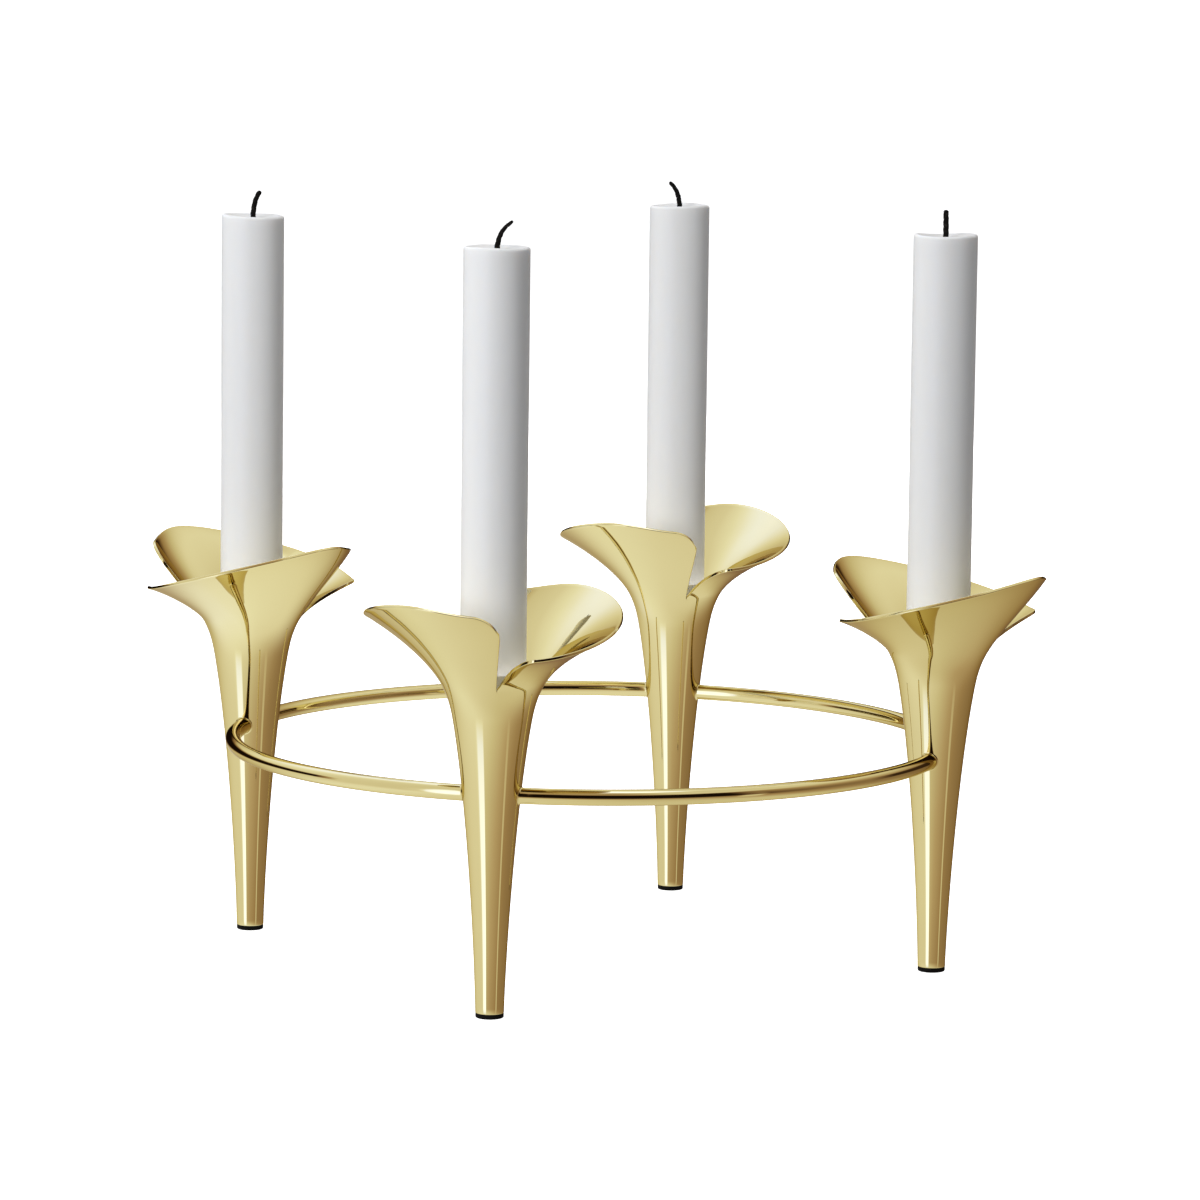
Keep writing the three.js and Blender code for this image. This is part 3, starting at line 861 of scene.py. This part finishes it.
# The photograph's view: metres, degrees to the left, up and of roll, and the lens in millimetres
CAMERA_PLACE = (0.4950, -1.8892, 0.3796)
CAMERA_TURN, CAMERA_RISE, CAMERA_ROLL = 14.574, -7.442, 0.7
CAMERA_LENS, CAMERA_SENSOR = 168.5, 36
CAMERA_CLIP = (0.05, 200)

# Soft boxes out of sight: degrees to the right of the camera and up, width and height in metres,
# watts and colour
LIGHTS = {"key": ((-38, 18), (0.7, 1.3), 24, (0.98, 0.99, 1)),
          "top": ((-30, 80), (1.4, 1.4), 13, (1, 1, 1)),
          "left_back": ((-115, 15), (0.7, 1.3), 8, (1, 1, 1)),
          "back": ((170, 20), (1.2, 1.3), 15, (0.98, 0.99, 1)),
          "right": ((88, 10), (0.6, 1.3), 5, (1, 1, 1))}
LIGHT_DISTANCE, LIGHT_AIM = 1.8, (0, 0, 0.15)
# The light that the inside of a polished cup throws up at its candle
GLOW_HEIGHT, GLOW_WIDTH, GLOW_POWER = 0.116, 0.044, 0.005


def hidden_lamp(name, shape, size, power, colour):
    """An area light that neither the camera nor the metal sees."""
    data = bpy.data.lights.new(name, "AREA")
    data.shape = shape
    data.size, data.size_y = size
    data.energy = power
    data.color = colour
    lamp = bpy.data.objects.new(name, data)
    bpy.context.scene.collection.objects.link(lamp)
    lamp.visible_camera = False
    lamp.visible_glossy = False
    return lamp


def soft_light(name, aim, size, power, colour):
    """A soft box aimed at the cups, from degrees to the right of the camera and up."""
    lamp = hidden_lamp(name, "RECTANGLE", size, power, colour)
    turn, rise = math.radians(aim[0] + CAMERA_TURN - 90), math.radians(aim[1])
    away = Vector((math.cos(turn) * math.cos(rise), math.sin(turn) * math.cos(rise),
                   math.sin(rise)))
    lamp.location = Vector(LIGHT_AIM) + away * LIGHT_DISTANCE
    lamp.rotation_euler = away.to_track_quat("Z", "Y").to_euler()


def cup_glow(name, centre):
    """A faint disk inside a cup, facing up."""
    lamp = hidden_lamp(name, "DISK", (GLOW_WIDTH, GLOW_WIDTH), GLOW_POWER, (1, 1, 1))
    lamp.location = (centre[0], centre[1], GLOW_HEIGHT)
    lamp.rotation_euler = (math.pi, 0, 0)


# What the metal mirrors, as brightness at degrees to the right of the camera: low on the walls,
# high on the walls, and how much of the dark opening and of the dark low shade there is
WALL_ROUND = ((-180, 0.70), (-150, 0.86), (-60, 0.78), (-53, 0.85), (-47, 1.7), (-30, 1.9),
              (-26, 0.48), (0, 0.38), (48, 0.32), (51, 0.78), (56, 0.78), (59, 0.30), (130, 0.29),
              (160, 0.22), (180, 0.20))
UPPER_ROUND = ((-180, 0.95), (-163, 1.12), (-145, 1.20), (-128, 1.10), (-110, 0.95), (-95, 0.85),
               (-50, 0.76), (-15, 0.42), (15, 0.45), (40, 0.80), (90, 0.76), (130, 0.92),
               (160, 0.76), (180, 0.90))
OPENING_ROUND = ((-26, 0.0), (-18, 1.0), (46, 1.0), (62, 0.45), (80, 0.2), (100, 0.0))
SHADE_ROUND = ((-180, 1.0), (-94, 1.0), (-84, 0.0), (100, 0.0), (112, 0.85), (170, 0.85),
               (176, 1.0))
# Degrees above the horizon over which one thing gives way to the next
TABLE_END, UPPER_START, CEILING_START = (-34, -6), (0, 46), (70, 82)
OPENING_END, SHADE_END, DARK_START = (44, 34), (17, 9), (-10, -4)
CEILING_LEVEL, DARK_LEVEL = 1.7, 0.01
# The table seen past the floor: its brightness, how much brighter it is towards one side near
# and far, the degrees between these, and where that side lies
TABLE_LEVEL, TABLE_SWING, TABLE_SPREAD, TABLE_TURN = 0.66, (0.08, 0.28), (-88, -50), 60
# The even light on rough surfaces
AMBIENT, AMBIENT_COLOUR = 0.16, (0.94, 0.97, 1, 1)
WHITE = (1, 1, 1, 1)
# The mirrored colour at a brightness, warmer where it is darker
MIRRORED = ((0.0, (0.002, 0.001, 0.0005)), (0.06, (0.05, 0.026, 0.014)),
            (0.14, (0.14, 0.08, 0.045)), (0.39, (0.39, 0.275, 0.17)), (0.54, (0.54, 0.43, 0.31)),
            (0.72, (0.72, 0.68, 0.56)), (0.88, (0.88, 0.88, 0.85)), (0.98, (0.98, 1.02, 1.05)),
            (1.04, (1.04, 1.10, 1.28)), (1.14, (1.14, 1.27, 1.9)), (2.0, (1.9, 2.0, 2.6)))
BRIGHTEST = 2.0
# The floor in the metal, a painted glow that stands in for how it is lit: its brightness at metres
# to the right, what it gains with each metre away from the camera, and the slants in degrees over
# which it gives way to the surroundings
FLOOR_GLOW_ACROSS = ((-0.16, 1.03), (-0.09, 0.93), (0.0, 0.84), (0.12, 0.78), (0.24, 0.58),
                (0.45, 0.40))
FLOOR_GLOW_RISE = 0.5
FLOOR_END = (54, 18)
FLOOR_REACH = 60.0  # from the middle to each edge, in metres


class Wiring:
    """Short ways to add nodes to one tree. Each takes numbers or sockets and gives a socket."""

    def __init__(self, tree):
        self.nodes, self.links = tree.nodes, tree.links

    def feed(self, socket, value):
        """Links a socket to a socket, or sets it to a number or colour."""
        if isinstance(value, bpy.types.NodeSocket):
            self.links.new(value, socket)
        else:
            socket.default_value = value

    def compute(self, operation, *values):
        """One step of arithmetic."""
        node = self.nodes.new("ShaderNodeMath")
        node.operation = operation
        for socket, value in zip(node.inputs, values):
            self.feed(socket, value)
        return node.outputs[0]

    def fade(self, value, low, high, start=0.0, end=1.0):
        """A smooth step from start to end while the value goes from low to high."""
        node = self.nodes.new("ShaderNodeMapRange")
        node.interpolation_type = "SMOOTHSTEP"
        for title, number in (("Value", value), ("From Min", low), ("From Max", high),
                              ("To Min", start), ("To Max", end)):
            self.feed(node.inputs[title], number)
        return node.outputs["Result"]

    def mix(self, factor, low, high):
        """A number between two numbers."""
        node = self.nodes.new("ShaderNodeMix")
        for title, number in (("Factor", factor), ("A", low), ("B", high)):
            self.feed(node.inputs[title], number)
        return node.outputs["Result"]

    def ramp(self, value, stops):
        """A colour ramp whose stops are a position and a level or a colour."""
        node = self.nodes.new("ShaderNodeValToRGB")
        self.links.new(value, node.inputs["Fac"])
        spots = node.color_ramp.elements
        while len(spots) < len(stops):
            spots.new(0.5)
        for spot, (position, level) in zip(spots, stops):
            spot.position = position
            spot.color = level + (1,) if isinstance(level, tuple) else (level, level, level, 1)
        return node.outputs["Color"]

    def mirrored(self, level):
        """The colour that stands for a brightness in the metal."""
        return self.ramp(self.compute("DIVIDE", level, BRIGHTEST),
                         [(value / BRIGHTEST, shade) for value, shade in MIRRORED])

    def turned(self, vector, degrees):
        """The X, Y and Z of a vector turned about the upright axis."""
        mapping = self.nodes.new("ShaderNodeMapping")
        mapping.inputs["Rotation"].default_value = (0, 0, math.radians(degrees))
        self.links.new(vector, mapping.inputs["Vector"])
        split = self.nodes.new("ShaderNodeSeparateXYZ")
        self.links.new(mapping.outputs[0], split.inputs[0])
        return split.outputs

    def choose(self, factor, first, second):
        """The first shader where the factor is 0, the second where it is 1."""
        node = self.nodes.new("ShaderNodeMixShader")
        for socket, value in zip(node.inputs, (factor, first, second)):
            self.links.new(value, socket)
        return node.outputs[0]


def studio_world(scene):
    """Surroundings: white where the camera looks past the floor, an even light on what is
    rough, and in the metal a studio with a strip light, a dark opening in front and a pale
    floor."""
    world = bpy.data.worlds.new("studio")
    scene.world = world
    world.use_nodes = True
    world.cycles.sampling_method = "NONE"
    wiring = Wiring(world.node_tree)
    where = wiring.nodes.new("ShaderNodeTexCoord")
    facing = wiring.turned(where.outputs["Generated"], 90 - CAMERA_TURN)
    turn = wiring.compute("ARCTAN2", facing["Y"], facing["X"])
    rise = wiring.compute("ARCSINE", facing["Z"])
    around = wiring.compute("ADD", wiring.compute("DIVIDE", turn, 2 * math.pi), 0.5)

    def round_the_room(stops):
        return wiring.ramp(around, [(degrees / 360 + 0.5, level) for degrees, level in stops])

    def rising(span, start=0.0, end=1.0):
        return wiring.fade(rise, math.radians(span[0]), math.radians(span[1]), start, end)

    lobe = wiring.compute("COSINE", wiring.compute("ADD", turn, math.radians(TABLE_TURN)))
    table = wiring.compute("MULTIPLY_ADD", lobe, rising(TABLE_SPREAD, *TABLE_SWING), TABLE_LEVEL)
    level = wiring.mix(rising(TABLE_END), table, round_the_room(WALL_ROUND))
    level = wiring.mix(rising(UPPER_START), level, round_the_room(UPPER_ROUND))
    level = wiring.mix(rising(CEILING_START), level, CEILING_LEVEL)
    opening = wiring.compute("MULTIPLY", rising(OPENING_END), round_the_room(OPENING_ROUND))
    shade = wiring.compute("MULTIPLY", rising(SHADE_END), round_the_room(SHADE_ROUND))
    dark = wiring.compute("MULTIPLY", rising(DARK_START),
                          wiring.compute("MAXIMUM", opening, shade))
    colour = wiring.mirrored(wiring.mix(dark, level, DARK_LEVEL))

    def background(shade, strength):
        node = wiring.nodes.new("ShaderNodeBackground")
        wiring.feed(node.inputs["Color"], shade)
        node.inputs["Strength"].default_value = strength
        return node.outputs[0]

    seen = wiring.nodes.new("ShaderNodeLightPath")
    unseen = wiring.choose(seen.outputs["Is Diffuse Ray"], background(colour, 1.0),
                           background(AMBIENT_COLOUR, AMBIENT))
    whole = wiring.choose(seen.outputs["Is Camera Ray"], unseen, background(WHITE, 1.0))
    wiring.links.new(whole, wiring.nodes["World Output"].inputs["Surface"])


def floor_paint(colours):
    """A white floor. What the metal mirrors of it is a painted glow, brighter on the left and
    fading to the right, and where it is seen at a slant the surroundings take over."""
    paint, tree, shader = material("studio_floor", Roughness=0.9, Specular_IOR_Level=0.1,
                                   Emission_Color=WHITE, Emission_Strength=1.0)
    if tree is None:
        return paint
    shader.inputs["Base Color"].default_value = tuple(colours.floor) + (1,)
    wiring = Wiring(tree)
    nodes = tree.nodes
    where = nodes.new("ShaderNodeTexCoord")
    facing = wiring.turned(where.outputs["Object"], -CAMERA_TURN)
    across = wiring.compute("MULTIPLY_ADD", facing["X"], 0.5, 0.5)
    fade = wiring.ramp(across, [(x / 2 + 0.5, level) for x, level in FLOOR_GLOW_ACROSS])
    level = wiring.compute("MULTIPLY_ADD", facing["Y"], FLOOR_GLOW_RISE, fade)
    # Painted light: a glow on the floor, brighter on the left, that only the metal sees
    glow = nodes.new("ShaderNodeEmission")
    tree.links.new(wiring.mirrored(level), glow.inputs["Color"])
    slant = nodes.new("ShaderNodeLayerWeight")
    near, far = (1 - math.sin(math.radians(rise)) for rise in FLOOR_END)
    clear = nodes.new("ShaderNodeBsdfTransparent")
    mirrored = wiring.choose(wiring.fade(slant.outputs["Facing"], near, far),
                             glow.outputs[0], clear.outputs[0])
    seen = nodes.new("ShaderNodeLightPath")
    whole = wiring.choose(seen.outputs["Is Glossy Ray"], shader.outputs[0], mirrored)
    tree.links.new(whole, nodes["Material Output"].inputs["Surface"])
    return paint


def studio_floor(scene):
    """A wide floor that rough surfaces don't see."""
    reach = FLOOR_REACH
    mesh = bpy.data.meshes.new("floor")
    mesh.from_pydata([(-reach, -reach, 0), (reach, -reach, 0), (reach, reach, 0),
                      (-reach, reach, 0)], [], [(0, 1, 2, 3)])
    floor = bpy.data.objects.new("floor", mesh)
    scene.collection.objects.link(floor)
    mesh.materials.append(floor_paint(scene.holder_colours))
    floor.visible_diffuse = False


def studio_camera(scene):
    """The photograph's view, from its place, turn, rise and roll."""
    data = bpy.data.cameras.new("camera")
    data.sensor_width = CAMERA_SENSOR
    data.lens = CAMERA_LENS
    data.clip_start, data.clip_end = CAMERA_CLIP
    camera = bpy.data.objects.new("camera", data)
    scene.collection.objects.link(camera)
    yaw, rise = math.radians(CAMERA_TURN), math.radians(CAMERA_RISE)
    ahead = Vector((-math.sin(yaw) * math.cos(rise), math.cos(yaw) * math.cos(rise),
                    math.sin(rise)))
    level = Vector((math.cos(yaw), math.sin(yaw), 0))
    upright = level.cross(ahead)
    roll = math.radians(CAMERA_ROLL)
    right = level * math.cos(roll) + upright * math.sin(roll)
    top = upright * math.cos(roll) - level * math.sin(roll)
    camera.matrix_world = Matrix.Translation(CAMERA_PLACE) @ Matrix(
        (right, top, -ahead)).transposed().to_4x4()
    scene.camera = camera


class HOLDER_OT_stage(bpy.types.Operator):
    """Make the floor, the lights, the surroundings and the camera"""
    bl_idname = "holder.stage"
    bl_label = "Stage"

    def execute(self, context):
        scene = context.scene
        scene.view_settings.view_transform = "Standard"
        studio_floor(scene)
        studio_world(scene)
        for name, (aim, size, power, colour) in LIGHTS.items():
            soft_light(name, aim, size, power, colour)
        for leg in LEGS:
            cup_glow(f"glow_{leg}", leg_centre(scene.holder_sizes, leg))
        studio_camera(scene)
        return {"FINISHED"}


class HOLDER_PT_panel(bpy.types.Panel):
    """Steps that make the candle holder"""
    bl_label = "Candle holder"
    bl_space_type = "VIEW_3D"
    bl_region_type = "UI"
    bl_category = "Candle holder"

    def draw(self, context):
        for step in STEPS:
            self.layout.operator(step.bl_idname)
        for group in (context.scene.holder_sizes, context.scene.holder_colours):
            box = self.layout.box()
            for key in group.__annotations__:
                box.prop(group, key)


STEPS = (HOLDER_OT_trumpets, HOLDER_OT_ring, HOLDER_OT_pads, HOLDER_OT_candles, HOLDER_OT_wicks,
         HOLDER_OT_stage)
CLASSES = (HolderSizes, HolderColours) + STEPS + (HOLDER_PT_panel,)


def register():
    """Makes the classes and the sizes and colours known."""
    for kind in CLASSES:
        bpy.utils.register_class(kind)
    bpy.types.Scene.holder_sizes = PointerProperty(type=HolderSizes)
    bpy.types.Scene.holder_colours = PointerProperty(type=HolderColours)


def unregister():
    """Takes back what register did."""
    del bpy.types.Scene.holder_colours
    del bpy.types.Scene.holder_sizes
    for kind in reversed(CLASSES):
        bpy.utils.unregister_class(kind)


def main():
    """Makes the object and its stage."""
    register()
    bpy.ops.holder.trumpets()
    bpy.ops.holder.ring()
    bpy.ops.holder.pads()
    bpy.ops.holder.candles()
    bpy.ops.holder.wicks()
    bpy.ops.holder.stage()
    bpy.context.view_layer.update()


if __name__ == "__main__":
    main()
